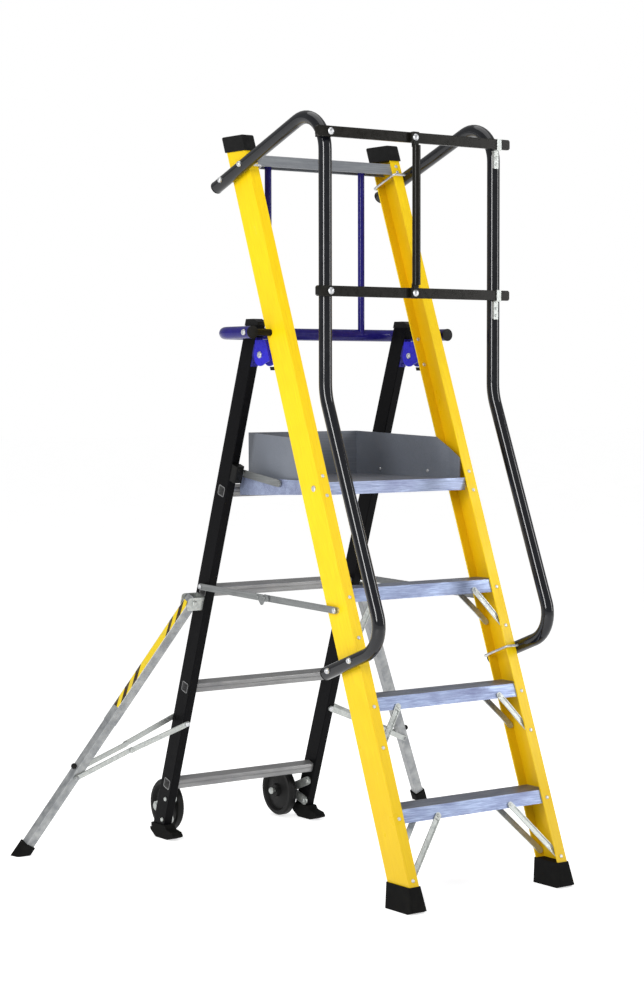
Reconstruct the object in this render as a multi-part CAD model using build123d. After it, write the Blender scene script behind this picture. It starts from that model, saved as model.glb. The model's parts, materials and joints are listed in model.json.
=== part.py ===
from build123d import *
import math
import os

# Podium step ladder, built open and standing on the floor.
# Millimetres, +Z up, front (climbing side) towards -Y, left is -X.
# The origin is on the floor, in the middle of the whole footprint. The sizes below are
# drawn from a datum just in front of it, and every piece is moved by TO_CENTRE when saved.
TO_CENTRE = 11.6

# ---- front frame ----
STILE_LEAN = 20.86        # degrees from vertical, top towards the rear
STILE_FRONT_Y = -652.0    # front face of the stiles where it would meet the floor
HALF_WIDTH = 252.0        # centre plane to the outer face of a stile
STILE_DEPTH = 80.0
FLANGE = 30.0
STILE_WALL = 4.0
STILE_BOTTOM = 34.0
STILE_TOP = 1900.0
TREAD_TOPS = (236.0, 496.0, 756.0)
TREAD_LIP = 32.0
TREAD_WALL = 3.0
BRACE_DROPS = (136.0, 91.0, 92.0)     # rise of each brace, foot rivet to tread rivet
BRACE_REACHES = (121.0, 74.0, 74.0)   # run of each brace towards the middle
RIVET_X = 236.8
TOP_BAR_TOP = 1856.0
TOP_BAR_LIP = 29.0
CAP_BOTTOM = 1866.0
CAP_TOP = 1908.0

# ---- guard rails, gate and rear hoop ----
TUBE_R = 16.5
TUBE_WALL = 1.8
RAIL_X = 269.5
POST_Y = -316.5
UPPER_ARM_S = 1952.0      # height of the upper arm, measured along the stile
LOWER_ARM_S = 628.0
UPPER_ARM_END = 132.0      # depth in the stile's frame where the arms stop
LOWER_ARM_END = 118.0
POST_KINK_Z = 1235.0
LOWER_BEND_Y = -555.5
CLAMP_WIRE_R = 3.2
GATE_LEVELS = (1489.0, 1877.0)
GATE_PIVOT_X = -274.0
GATE_UPRIGHT_X = -17.0
GATE_LEFT = -314.0
GATE_RIGHT = 299.0
GATE_HEIGHT = 26.0
GATE_FRONT = -346.5
GATE_BACK = -335.9
CATCH_X = 262.0
HOOP_X = 318.0
HOOP_Y = 106.5
HOOP_Z = 1393.0
HOOP_R = 16.0
HOOP_BEND = 72.0
HOOP_FRONT = -67.5
HOOP_UPRIGHT_X = 153.0
HOOP_UPRIGHT_Y = 99.0

# ---- rear frame ----
HINGE_Y = -16.5
HINGE_Z = 1336.5
LEG_LEAN = 18.83          # degrees from vertical, foot towards the rear
LEG_FLOOR_Y = 509.7       # leg centre line where it would meet the floor
LEG_OUTER = 256.0
LEG_INNER = 231.0
LEG_HALF_DEPTH = 27.0
LEG_TOP = 1430.0
RUNG_S = (167.0, 462.0, 749.0, 1036.0)   # rung heights along the leg
RUNG_FRONT = -19.0
RUNG_BACK = 10.0
RUNG_HALF_HEIGHT = 14.0
RUNG_CORNER = 5.0
AXLE_Y = 552.5
AXLE_Z = 76.0
WHEEL_R = 73.0
WHEEL_X = 193.0

# ---- platform and stays ----
DECK_PIVOT_Y = -242.5
DECK_PIVOT_Z = 1000.0
DECK_TOP = 1016.0
DECK_FRONT = -262.0
DECK_REAR = 157.5
DECK_HALF = 214.0
LIP_HALF = 221.0
TOE_TOP = 1133.0
LINK_B = (-39.5, 1005.0)  # link pivot on the platform (y, z)
LINK_C = (120.0, 1026.0)  # link pivot on the rear leg (y, z)
LINK_X = 216.0
STAY_S = (-341.3, 703.0)  # spreader pivot on the stile (y, z)
STAY_R = (265.0, 718.0)   # spreader pivot on the rear leg (y, z)
STAY_X = 258.0

# ---- outriggers, in the plane of the rear leg: x and distance along the leg ----
OUT_PIVOT = (-285.0, 718.0)
OUT_ANGLE = 29.0          # degrees between the leg and the open outrigger
OUT_SIDE = 28.0
OUT_SLEEVE_END = 392.0    # the thicker upper part of the tube
OUT_TUBE_END = 783.0
OUT_EXTENSION_START = 540.0
OUT_KNOB = 541.0
OUT_STAY_AT = 563.0
OUT_LEG_PIVOT = (-243.5, 361.0)

SIDES = ((-1, "left"), (1, "right"))
SIN_L = math.sin(math.radians(STILE_LEAN))
COS_L = math.cos(math.radians(STILE_LEAN))
TAN_L = SIN_L / COS_L
LOW = (Align.CENTER, Align.CENTER, Align.MIN)

os.makedirs("parts", exist_ok=True)


# ---- helpers ----
def save(name, *solids):
    """Write one named piece, or a group of separate solids, to its STEP file."""
    pieces = []
    for item in solids:
        pieces.extend((Pos(0, TO_CENTRE, 0) * item).solids())
    shape = pieces[0] if len(pieces) == 1 else Compound(children=pieces)
    export_step(shape, f"parts/{name}.step")


def block(x0, x1, y0, y1, z0, z1):
    """Box between two corners."""
    centre = ((x0 + x1) / 2, (y0 + y1) / 2, (z0 + z1) / 2)
    return Pos(*centre) * Box(abs(x1 - x0), abs(y1 - y0), abs(z1 - z0))


def rod(start, end, radius):
    """Round bar from one point to another."""
    axis = Vector(*end) - Vector(*start)
    return Plane(origin=start, z_dir=axis) * Cylinder(radius, axis.length, align=LOW)


def head(point, direction, radius, height):
    """Domed rivet or bolt head standing on a face."""
    dome = Cylinder(radius, height, align=LOW)
    dome = fillet(dome.edges().sort_by(Axis.Z)[-1], 0.8 * height)
    return Plane(origin=point, z_dir=direction) * dome


def mirrored(shape):
    """The right-hand twin of a left-hand piece."""
    return mirror(shape, about=Plane.YZ)


def both(shape):
    """A left-hand piece and its right-hand twin."""
    return [shape, mirrored(shape)]


def side_of(shape, side):
    return shape if side < 0 else mirrored(shape)


def lean(shape):
    """From the stile's own frame (x, depth, height along it) to its leaning place."""
    return Location((0, STILE_FRONT_Y, 0), (-STILE_LEAN, 0, 0)) * shape


def to_leg(shape):
    """From the rear leg's own frame (x, depth, height along it) to its leaning place."""
    return Location((0, LEG_FLOOR_Y, 0), (LEG_LEAN, 0, 0)) * shape


def on_stile(depth, along):
    """World (y, z) of a point given by depth and height in the stile's frame."""
    y = STILE_FRONT_Y + depth * COS_L + along * SIN_L
    return y, along * COS_L - depth * SIN_L


def stile_y(depth, z):
    """World y of the plane at this depth in the stile, at height z."""
    return STILE_FRONT_Y + depth / COS_L + z * TAN_L


def leaning_prism(x0, x1, d0, d1, z0, z1):
    """Bar that leans with the stile and is cut level at both ends."""
    corners = [(stile_y(d0, z0), z0), (stile_y(d1, z0), z0)]
    corners += [(stile_y(d1, z1), z1), (stile_y(d0, z1), z1)]
    face = Plane.YZ * make_face(Polyline(*corners, close=True))
    return Pos((x0 + x1) / 2, 0, 0) * extrude(face, amount=abs(x1 - x0) / 2, both=True)


def yz_plate(points, x0, x1):
    """Flat plate with an outline given as (y, z) points."""
    face = Plane.YZ * make_face(Polyline(*points, close=True))
    return Pos((x0 + x1) / 2, 0, 0) * extrude(face, amount=abs(x1 - x0) / 2, both=True)


def bar(plane, start, end, width, thickness):
    """Flat bar with round ends between two points of a plane."""
    run = math.dist(start, end)
    turn = math.degrees(math.atan2(end[1] - start[1], end[0] - start[0]))
    middle = ((start[0] + end[0]) / 2, (start[1] + end[1]) / 2)
    slot = Pos(*middle) * Rot(0, 0, turn) * SlotCenterToCenter(run, width)
    return extrude(plane * slot, amount=thickness)


def yz_plane(x):
    """Plane at x whose own axes are world y and z, facing +X."""
    return Plane(origin=(x, 0, 0), x_dir=(0, 1, 0), z_dir=(1, 0, 0))


def tube(points, radius, wall, bends):
    """Bent round tube along a route with rounded corners."""
    path = FilletPolyline(*points, radius=bends)
    section = Plane(origin=path @ 0, z_dir=path % 0) * Circle(radius)
    hollow = Plane(origin=path @ 0, z_dir=path % 0) * Circle(radius - wall)
    return sweep(section - hollow, path=path)


def wire(points, radius, bend):
    """Bent round wire."""
    path = FilletPolyline(*points, radius=bend)
    return sweep(Plane(origin=path @ 0, z_dir=path % 0) * Circle(radius), path=path)


# ---- front frame ----
def stile():
    outside = leaning_prism(-HALF_WIDTH, -HALF_WIDTH + FLANGE, 0, STILE_DEPTH, STILE_BOTTOM, STILE_TOP)
    hollow = leaning_prism(-HALF_WIDTH + STILE_WALL, 0, STILE_WALL, STILE_DEPTH - STILE_WALL, 0, 2000)
    return outside - hollow


def boot():
    """Rubber foot: flared block with a slot that takes the end of the stile."""
    base = Pos(-237, -597, 0) * RectangleRounded(50, 107, 5)
    collar = Pos(-237, -586, 62) * RectangleRounded(38, 92, 5)
    body = loft([base, collar])
    toe = yz_plate([(-660, -1), (-632, -1), (-660, 11)], -300, -180)
    return body - toe - stile()


def stile_cap():
    skin = 3.5
    body = leaning_prism(-HALF_WIDTH - skin, -HALF_WIDTH + FLANGE + skin, -skin, STILE_DEPTH + skin,
                         CAP_BOTTOM, CAP_TOP)
    body = fillet(body.edges().group_by(Axis.Z)[-1], 4)
    return body - stile()


def channel_step(top, lip, wall, half):
    """Aluminium channel with its lips in line with the stile flanges."""
    front = STILE_WALL
    back = STILE_DEPTH - STILE_WALL
    low = top - lip
    hem = 8.0
    outline = [
        (stile_y(front, top), top), (stile_y(back, top), top), (stile_y(back, low), low),
        (stile_y(back - hem, low), low), (stile_y(back - hem, low + wall), low + wall),
        (stile_y(back - wall, low + wall), low + wall), (stile_y(back - wall, top - wall), top - wall),
        (stile_y(front + wall, top - wall), top - wall), (stile_y(front + wall, low + wall), low + wall),
        (stile_y(front + hem, low + wall), low + wall), (stile_y(front + hem, low), low),
        (stile_y(front, low), low),
    ]
    return yz_plate(outline, -half, half)


def tread(top):
    """Channel step with shallow grip grooves along its top."""
    body = channel_step(top, TREAD_LIP, TREAD_WALL, HALF_WIDTH - STILE_WALL)
    grooves = 9
    pitch = 7.2
    first = stile_y(STILE_DEPTH / 2, top) - pitch * (grooves - 1) / 2
    for index in range(grooves):
        y = first + index * pitch
        body -= block(-240, 240, y - 1, y + 1, top - 1, top + 1)
    return body


def strip_profile(stations, near, far):
    """Closed outline of a bent strip: (distance along, depth) stations, moved by near and far."""
    outline = [(w, d + near) for w, d in stations]
    return outline + [(w, d + far) for w, d in reversed(stations)]


def brace(top, drop, reach):
    """Front left brace: a shallow channel from behind the front flange to the tread lip."""
    low_s = (top - TREAD_LIP + 8 - drop) / COS_L
    high_s = (top - TREAD_LIP + 8) / COS_L
    run = math.dist((0, low_s), (reach, high_s))
    width, thick, rim, groove = 16.0, 3.4, 2.6, 1.7
    half = width / 2
    # flat on the lip at its upper end, then sloping back behind the flange
    stations = [(-half, 4.4), (34, 4.4), (run - 26, 0.5), (run + half, 0.5)]
    slab = extrude(make_face(Polyline(*strip_profile(stations, 0, thick), close=True)), amount=half, both=True)
    hollow = [(12, 4.4), (34, 4.4), (run - 26, 0.5), (run - 11, 0.5)]
    pocket = make_face(Polyline(*strip_profile(hollow, -1, groove), close=True))
    slab -= extrude(pocket, amount=half - rim, both=True)
    ends = Plane.XZ * (Pos(run / 2, 0) * SlotCenterToCenter(run, width))
    strap = slab & extrude(ends, amount=20, both=True)
    along = Vector(reach, 0, high_s - low_s).normalized()
    place = Plane(origin=(-RIVET_X, 0, low_s), x_dir=along, z_dir=along.cross(Vector(0, 1, 0)))
    strap = place * strap
    rivets = [head((-RIVET_X + reach, 0.5, high_s), (0, -1, 0), 4.5, 2.4)]
    return strap, rivets


def tread_braces():
    """Four struts under each tread, two at the front and two at the back."""
    pieces = []
    flip = Plane(origin=(0, STILE_DEPTH / 2, 0), z_dir=(0, 1, 0))
    for top, drop, reach in zip(TREAD_TOPS, BRACE_DROPS, BRACE_REACHES):
        strap, rivets = brace(top, drop, reach)
        for piece in [strap] + rivets:
            pieces += both(lean(piece))
            # the rear pair sits at the same height on the rear lip, so it is lowered
            rear = Pos(0, 0, STILE_DEPTH * TAN_L) * mirror(piece, about=flip)
            pieces += both(lean(rear))
    return pieces


def top_bar():
    return channel_step(TOP_BAR_TOP, TOP_BAR_LIP, TREAD_WALL, HALF_WIDTH - STILE_WALL)


def guard_rail():
    """Bent tube: upper arm, post, slanting part and lower arm."""
    upper_end = on_stile(UPPER_ARM_END, UPPER_ARM_S)
    depth_upper = (POST_Y - STILE_FRONT_Y - UPPER_ARM_S * SIN_L) / COS_L
    upper_corner = on_stile(depth_upper, UPPER_ARM_S)
    depth_lower = (LOWER_BEND_Y - STILE_FRONT_Y - LOWER_ARM_S * SIN_L) / COS_L
    lower_corner = on_stile(depth_lower, LOWER_ARM_S)
    lower_end = on_stile(LOWER_ARM_END, LOWER_ARM_S)
    route = [upper_end, upper_corner, (POST_Y, POST_KINK_Z), lower_corner, lower_end]
    points = [(-RAIL_X, y, z) for y, z in route]
    body = tube(points, TUBE_R, TUBE_WALL, [87, 150, 75])
    for depth, along in clamp_legs():
        y, z = on_stile(depth, along)
        body -= rod((-RAIL_X - 30, y, z), (-RAIL_X + 30, y, z), CLAMP_WIRE_R + 0.2)
    return body


def rail_plugs():
    """Black end plugs of the guard rail tubes."""
    plugs = []
    for depth, along in ((UPPER_ARM_END, UPPER_ARM_S), (LOWER_ARM_END, LOWER_ARM_S)):
        cap = rod((-RAIL_X, depth, along), (-RAIL_X, depth + 3, along), TUBE_R + 0.4)
        stem = rod((-RAIL_X, depth - 12, along), (-RAIL_X, depth, along), TUBE_R - TUBE_WALL)
        plugs += both(lean(cap + stem))
    return plugs


def clamp_legs():
    """(depth, height) of the four wire legs that pass through a guard rail."""
    return [(depth, along) for along in (UPPER_ARM_S, LOWER_ARM_S) for depth in (-8.0, 88.0)]


def rail_clamps():
    """U-bolts that hug the stiles, with washers and dome nuts outside the rails."""
    pieces = []
    outer = -RAIL_X - TUBE_R - 8
    inner = -HALF_WIDTH + FLANGE + 5
    for along in (UPPER_ARM_S, LOWER_ARM_S):
        points = [(outer, -8, along), (inner, -8, along), (inner, 88, along), (outer, 88, along)]
        pieces.append(wire(points, CLAMP_WIRE_R, 7))
    for depth, along in clamp_legs():
        nut = head((-RAIL_X - TUBE_R - 0.2, depth, along), (-1, 0, 0), 7.5, 7.5)
        nut -= rod((-RAIL_X, depth, along), (outer, depth, along), CLAMP_WIRE_R + 0.1)
        pieces.append(nut)
    result = []
    for piece in pieces:
        result += both(lean(piece))
    return result


def frame_rivets():
    """Rivets and screws on the flanges of the stiles."""
    pieces = []
    levels = [top - 19 for top in TREAD_TOPS]
    levels += [top - TREAD_LIP + 8 - drop for top, drop in zip(TREAD_TOPS, BRACE_DROPS)]
    levels += [984.0, 1032.0, TOP_BAR_TOP - 6, TOP_BAR_TOP - 22]
    for z in levels:
        along = z / COS_L
        pieces += both(lean(head((-RIVET_X, 0, along), (0, -1, 0), 4.6, 2.2)))
        if z < 980 or z > 1100:
            rear = along + STILE_DEPTH * TAN_L
            pieces += both(lean(head((-RIVET_X, STILE_DEPTH, rear), (0, 1, 0), 4.6, 2.2)))
    return pieces


def rear_hoop():
    route = [(-HOOP_X, HOOP_FRONT), (-HOOP_X, HOOP_Y), (HOOP_X, HOOP_Y), (HOOP_X, HOOP_FRONT)]
    body = tube([(x, y, HOOP_Z) for x, y in route], HOOP_R, 2.0, HOOP_BEND)
    y = HOOP_FRONT + 15
    return body - rod((-HOOP_X - 40, y, HOOP_Z), (HOOP_X + 40, y, HOOP_Z), 4.2)


def hoop_uprights():
    """Two rods that tie the hoop to the top bar."""
    top = TOP_BAR_TOP - TREAD_WALL
    upright = rod((-HOOP_UPRIGHT_X, HOOP_UPRIGHT_Y, HOOP_Z), (-HOOP_UPRIGHT_X, HOOP_UPRIGHT_Y, top), 9)
    bar_solid = rod((-HOOP_X, HOOP_Y, HOOP_Z), (HOOP_X, HOOP_Y, HOOP_Z), HOOP_R)
    return both(upright - bar_solid)


def hoop_fittings():
    """Bolts that carry the hoop on the stiles."""
    y = HOOP_FRONT + 15
    bolt = rod((-HOOP_X - HOOP_R, y, HOOP_Z), (-HALF_WIDTH, y, HOOP_Z), 4)
    bolt += head((-HOOP_X - HOOP_R, y, HOOP_Z), (-1, 0, 0), 8, 4.5)
    return both(bolt)


def hoop_plugs():
    """Black end plugs of the hoop and the spacers between it and the stiles."""
    y = HOOP_FRONT + 15
    spacer = rod((-HOOP_X + HOOP_R + 0.4, y, HOOP_Z), (-HALF_WIDTH, y, HOOP_Z), 9)
    spacer -= rod((-HOOP_X, y, HOOP_Z), (0, y, HOOP_Z), 4)
    face = rod((-HOOP_X, HOOP_FRONT - 3, HOOP_Z), (-HOOP_X, HOOP_FRONT, HOOP_Z), HOOP_R + 0.4)
    stem = rod((-HOOP_X, HOOP_FRONT, HOOP_Z), (-HOOP_X, HOOP_FRONT + 8, HOOP_Z), HOOP_R - 2)
    return both(face + stem) + both(spacer)


# ---- main hinge between the frames ----
def hinge_bracket():
    """Blue pressed channel on the rear flange of a stile, with two cheeks round the pivot."""
    bottom, top = HINGE_Z - 30, HINGE_Z + 38
    body = leaning_prism(-259.5, -227.5, 83, 86, bottom + 14, top)
    for x0, x1 in ((-259.5, -256.5), (-230.5, -227.5)):
        outline = [(stile_y(86, bottom + 14), bottom + 14), (HINGE_Y - 12, bottom + 4), (HINGE_Y + 26, HINGE_Z + 8),
                   (HINGE_Y + 22, top), (stile_y(86, top), top)]
        body += yz_plate(outline, x0, x1)
        body += rod((x0, HINGE_Y, HINGE_Z), (x1, HINGE_Y, HINGE_Z), 29)
    body -= rod((-270, HINGE_Y, HINGE_Z), (-220, HINGE_Y, HINGE_Z), 5.0)
    return body - leaning_prism(-300, -200, -50, 83, HINGE_Z - 90, HINGE_Z + 100)


def hinge_pad():
    """Black backing pad between the stile and the hinge bracket, thicker at its foot."""
    pad = leaning_prism(-250, -224, STILE_DEPTH, 83, HINGE_Z - 40, HINGE_Z + 48)
    return pad + leaning_prism(-252, -224, STILE_DEPTH, 98, HINGE_Z - 40, HINGE_Z - 31)


def hinge_pin():
    """Pivot bolt with a head outside and a nut inside, and the two bracket screws."""
    pin = rod((-259.5, HINGE_Y, HINGE_Z), (-227.5, HINGE_Y, HINGE_Z), 5.0)
    pin += head((-259.5, HINGE_Y, HINGE_Z), (-1, 0, 0), 9, 5)
    pin += head((-227.5, HINGE_Y, HINGE_Z), (1, 0, 0), 8, 5)
    screws = []
    for z in (HINGE_Z - 24, HINGE_Z + 44):
        along = (z + (STILE_DEPTH - STILE_WALL) * SIN_L) / COS_L
        screws.append(lean(head((-RIVET_X, STILE_DEPTH - STILE_WALL, along), (0, -1, 0), 5, 2.5)))
    return [pin] + screws


def leg_lug():
    """Dark blue fork bolted to the front of a rear leg, between the bracket cheeks."""
    reach = 39.8
    plate = block(-254, -233, -LEG_HALF_DEPTH - 3, -LEG_HALF_DEPTH, -44, 34)
    body = plate
    for x0, x1 in ((-255.9, -252.9), (-234.1, -231.1)):
        body += block(x0, x1, -LEG_HALF_DEPTH - reach, -LEG_HALF_DEPTH, -16, 16)
        body += rod((x0, -LEG_HALF_DEPTH - reach, 0), (x1, -LEG_HALF_DEPTH - reach, 0), 16)
    body -= rod((-260, -LEG_HALF_DEPTH - reach, 0), (-220, -LEG_HALF_DEPTH - reach, 0), 5.3)
    # slide the fork along the leg until its bore meets the pivot
    dy = HINGE_Y - LEG_FLOOR_Y
    lean_rad = math.radians(LEG_LEAN)
    along = HINGE_Z * math.cos(lean_rad) - dy * math.sin(lean_rad)
    depth = dy * math.cos(lean_rad) + HINGE_Z * math.sin(lean_rad)
    body = Pos(0, depth + LEG_HALF_DEPTH + reach, along) * body
    leg_front = block(-300, -200, -LEG_HALF_DEPTH, 100, along - 100, along + 100)
    body = body - leg_front
    screws = [head((-243.5, -LEG_HALF_DEPTH - 3, along + z), (0, -1, 0), 5, 3) for z in (-37, 27)]
    return [to_leg(body)] + [to_leg(screw) for screw in screws]


# ---- rear frame ----
def rung_form(along, shrink, half):
    """Rounded square bar across the legs, smaller than the rung by shrink all round."""
    body = block(-half, half, RUNG_FRONT + shrink, RUNG_BACK - shrink,
                 along - RUNG_HALF_HEIGHT + shrink, along + RUNG_HALF_HEIGHT - shrink)
    return fillet(body.edges().filter_by(Axis.X), RUNG_CORNER - shrink)


def rear_leg():
    """Box-section leg with windows for the rungs, cut level at the foot."""
    body = block(-LEG_OUTER, -LEG_INNER, -LEG_HALF_DEPTH, LEG_HALF_DEPTH, -50, 1600)
    body = fillet(body.edges().filter_by(Axis.Z), 2.5)
    body -= block(-LEG_OUTER + 2, -LEG_INNER - 2, -LEG_HALF_DEPTH + 2, LEG_HALF_DEPTH - 2, -60, 1700)
    for along in RUNG_S:
        body -= rung_form(along, 0, 300)
    body -= rod((OUT_LEG_PIVOT[0], -40, OUT_LEG_PIVOT[1]), (OUT_LEG_PIVOT[0], 40, OUT_LEG_PIVOT[1]), 4)
    body = to_leg(body)
    return body & block(-300, -200, -200, 800, 14, LEG_TOP - 17)


def leg_cap():
    """Black plug on top of a leg, sloping down at the front."""
    body = block(-LEG_OUTER - 1, -LEG_INNER + 1, -LEG_HALF_DEPTH - 1, LEG_HALF_DEPTH + 1, 1380, 1600)
    body = to_leg(body)
    body = body & block(-300, -200, -200, 800, LEG_TOP - 17, LEG_TOP)
    slope = [(-60, LEG_TOP + 9), (18, LEG_TOP + 9), (18, LEG_TOP), (-18, LEG_TOP - 13), (-60, LEG_TOP - 28)]
    return body - yz_plate(slope, -300, -200)


def rear_rung(along):
    """Square tube rung with a groove along its front; its ends are swaged in the legs."""
    body = rung_form(along, 0, LEG_OUTER + 1)
    body -= rung_form(along, 2.2, 300)
    middle = (RUNG_FRONT + RUNG_BACK) / 2
    groove = block(-LEG_INNER, LEG_INNER, RUNG_FRONT - 1, RUNG_FRONT + 1, along + 1, along + 4)
    reach = RUNG_HALF_HEIGHT - 1.5
    rib = block(-LEG_INNER, LEG_INNER, middle - 1, middle + 1, along - reach, along + reach)
    return to_leg(body + rib - groove)


def rear_foot():
    """Rubber shoe with turned-up tips."""
    outline = [(537, 24), (533, 16), (507, 0), (447, 0), (418, 9), (416, 14), (424, 22),
               (452, 27), (462, 38), (530, 38), (529, 26)]
    body = yz_plate(outline, -LEG_OUTER - 4, -LEG_INNER + 4)
    pocket = block(-LEG_OUTER, -LEG_INNER, -LEG_HALF_DEPTH, LEG_HALF_DEPTH, -50, 300)
    pocket = to_leg(pocket) & block(-300, -200, 0, 900, 14, 100)
    return body - pocket


def wheel_mount():
    """Plate on the inner face of a leg, with the wheel axle and its bolts."""
    plate = bar(yz_plane(-LEG_INNER), (LEG_FLOOR_Y - 32, 52), (AXLE_Y, AXLE_Z), 26, 4)
    plate += bar(yz_plane(-LEG_INNER), (LEG_FLOOR_Y - 50, 112), (AXLE_Y, AXLE_Z), 24, 4)
    far = -WHEEL_X + 27
    plate -= rod((-240, AXLE_Y, AXLE_Z), (-220, AXLE_Y, AXLE_Z), 6)
    axle = rod((-LEG_INNER, AXLE_Y, AXLE_Z), (far, AXLE_Y, AXLE_Z), 6)
    axle += rod((-LEG_INNER - 3, AXLE_Y, AXLE_Z), (-LEG_INNER, AXLE_Y, AXLE_Z), 9)
    axle += head((far, AXLE_Y, AXLE_Z), (1, 0, 0), 10, 6)
    collar = rod((-LEG_INNER + 4, AXLE_Y, AXLE_Z), (-WHEEL_X - 20, AXLE_Y, AXLE_Z), 11)
    collar -= rod((-240, AXLE_Y, AXLE_Z), (-150, AXLE_Y, AXLE_Z), 6)
    heads = []
    for y, z in ((LEG_FLOOR_Y - 32, 52), (LEG_FLOOR_Y - 50, 112)):
        heads.append(head((-LEG_OUTER, y, z), (-1, 0, 0), 6, 4))
        heads.append(head((-LEG_INNER + 4, y, z), (1, 0, 0), 6, 4))
    return [plate, axle, collar] + heads


def wheel():
    """Solid black wheel: tyre tread, dished web and hub."""
    outline = [(6.4, -18), (17, -18), (20, -9), (54, -5), (60, -12.5), (69, -12.5), (WHEEL_R, -8),
               (WHEEL_R, 8), (69, 12.5), (60, 12.5), (54, 5), (20, 9), (17, 18), (6.4, 18)]
    face = make_face(Polyline(*outline, close=True))
    body = revolve(Plane.XY * face, axis=Axis.Y)
    turn = Location((-WHEEL_X, AXLE_Y, AXLE_Z), (0, 0, 90))
    return turn * body


def link_block():
    """Black block on the front of a leg that carries the platform link."""
    y, z = LINK_C
    lean_rad = math.radians(LEG_LEAN)
    along = z * math.cos(lean_rad) - (y - LEG_FLOOR_Y) * math.sin(lean_rad)
    depth = (y - LEG_FLOOR_Y) * math.cos(lean_rad) + z * math.sin(lean_rad)
    body = block(-LEG_OUTER + 2, -LEG_INNER + 3, depth - 12, -LEG_HALF_DEPTH, along - 23, along + 23)
    body = fillet(body.edges().filter_by(Axis.Z).sort_by(Axis.Y)[:2], 4)
    screws = [head((-243, depth - 12, along + rise), (0, -1, 0), 5, 2.5) for rise in (-15, 15)]
    return [to_leg(body)] + [to_leg(screw) for screw in screws]


def outrigger_bracket():
    """Galvanised U-bracket on the outer face of a leg, with the pivot bolt."""
    x, along = OUT_PIVOT
    gap = OUT_SIDE / 2 + 1
    base = block(-LEG_OUTER - 3, -LEG_OUTER, -gap - 3, gap + 3, along - 21, along + 16)
    body = base
    for d0, d1 in ((-gap - 3, -gap), (gap, gap + 3)):
        body += block(x - 21, -LEG_OUTER, d0, d1, along - 21, along + 16)
    body = fillet(body.edges().filter_by(Axis.Y).sort_by(Axis.X)[:4], 8)
    body -= rod((x, -50, along), (x, 50, along), 4)
    pin = rod((x, -gap - 3, along), (x, gap + 3, along), 4)
    pin += head((x, -gap - 3, along), (0, -1, 0), 7.5, 5)
    pin += head((x, gap + 3, along), (0, 1, 0), 7.5, 5)
    return [to_leg(body), to_leg(pin)]


def leg_bolts():
    """Pivot bolts of the spreader stays and of the outrigger stays on the rear legs."""
    y, z = STAY_R
    stay = rod((-LEG_OUTER - 1, y, z), (-STAY_X - 7, y, z), 4)
    stay += rod((-LEG_OUTER - 1, y, z), (-STAY_X - 3.2, y, z), 7)
    stay += head((-STAY_X - 7, y, z), (-1, 0, 0), 7, 4)
    x, along = OUT_LEG_PIVOT
    edge = LEG_HALF_DEPTH + 4
    strut = rod((x, -edge, along), (x, edge, along), 4)
    strut += head((x, -edge, along), (0, -1, 0), 7, 4)
    strut += head((x, edge, along), (0, 1, 0), 7, 4)
    return both(stay) + both(to_leg(strut))


# ---- platform ----
def platform_deck():
    """Folded aluminium deck: top sheet, front lip, side walls and rear wall."""
    wide_end = -70.0
    plan = [(-LIP_HALF, DECK_FRONT), (LIP_HALF, DECK_FRONT), (LIP_HALF, wide_end), (DECK_HALF, wide_end),
            (DECK_HALF, DECK_REAR), (-DECK_HALF, DECK_REAR), (-DECK_HALF, wide_end), (-LIP_HALF, wide_end)]
    sheet = extrude(Plane.XY * make_face(Polyline(*plan, close=True)), amount=3)
    body = Pos(0, 0, DECK_TOP - 3) * sheet
    body += block(-LIP_HALF, LIP_HALF, DECK_FRONT, DECK_FRONT + 3, DECK_TOP - TREAD_LIP, DECK_TOP)
    body += block(-LIP_HALF, LIP_HALF, DECK_FRONT, DECK_FRONT + 12, DECK_TOP - TREAD_LIP,
                  DECK_TOP - TREAD_LIP + 2)
    wall_end = 145.5
    wall = [(DECK_FRONT, DECK_TOP - 1), (DECK_FRONT, DECK_TOP - TREAD_LIP), (wall_end, 967.5),
            (wall_end, DECK_TOP - 1)]
    for side in (-1, 1):
        body += yz_plate(wall, side * (DECK_HALF - 3), side * DECK_HALF)
    body += block(-DECK_HALF, DECK_HALF, wall_end - 3, wall_end, 967.5, DECK_TOP - 1)
    for x in (-110, 0, 110):
        body += block(x - 1.5, x + 1.5, DECK_FRONT + 1, wall_end - 1, 988, DECK_TOP - 1)
    ribs = 18
    for index in range(ribs):
        x = -195 + 390 * index / (ribs - 1)
        body -= block(x - 1.2, x + 1.2, DECK_FRONT + 14, DECK_REAR - 24, DECK_TOP - 1, DECK_TOP + 1)
    pivot = rod((-240, DECK_PIVOT_Y, DECK_PIVOT_Z), (240, DECK_PIVOT_Y, DECK_PIVOT_Z), 5.3)
    return body - pivot


def toe_board():
    """Upstand round the rear of the deck, narrower at the rear, with end tabs."""
    t = 2.5
    rear_half = 180.0
    fold_y = -199.5
    tab_y = -242.0
    rear_y = 155.0
    outer = [(-LIP_HALF, tab_y), (-LIP_HALF, fold_y), (-rear_half, rear_y), (rear_half, rear_y),
             (LIP_HALF, fold_y), (LIP_HALF, tab_y)]
    inner = [(LIP_HALF - t, tab_y), (LIP_HALF - t, fold_y - 0.3), (rear_half - t - 0.3, rear_y - t),
             (-rear_half + t + 0.3, rear_y - t), (-LIP_HALF + t, fold_y - 0.3), (-LIP_HALF + t, tab_y)]
    face = Plane.XY * make_face(Polyline(*(outer + inner), close=True))
    body = Pos(0, 0, DECK_TOP) * extrude(face, amount=TOE_TOP - DECK_TOP)
    # the top edge falls towards the front and is cut away at the stiles
    top = [(rear_y + 5, TOE_TOP), (-150.5, 1121), (tab_y - 4, 1065), (tab_y - 4, 1200), (rear_y + 5, 1200)]
    return body - yz_plate(top, -300, 300)


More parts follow.
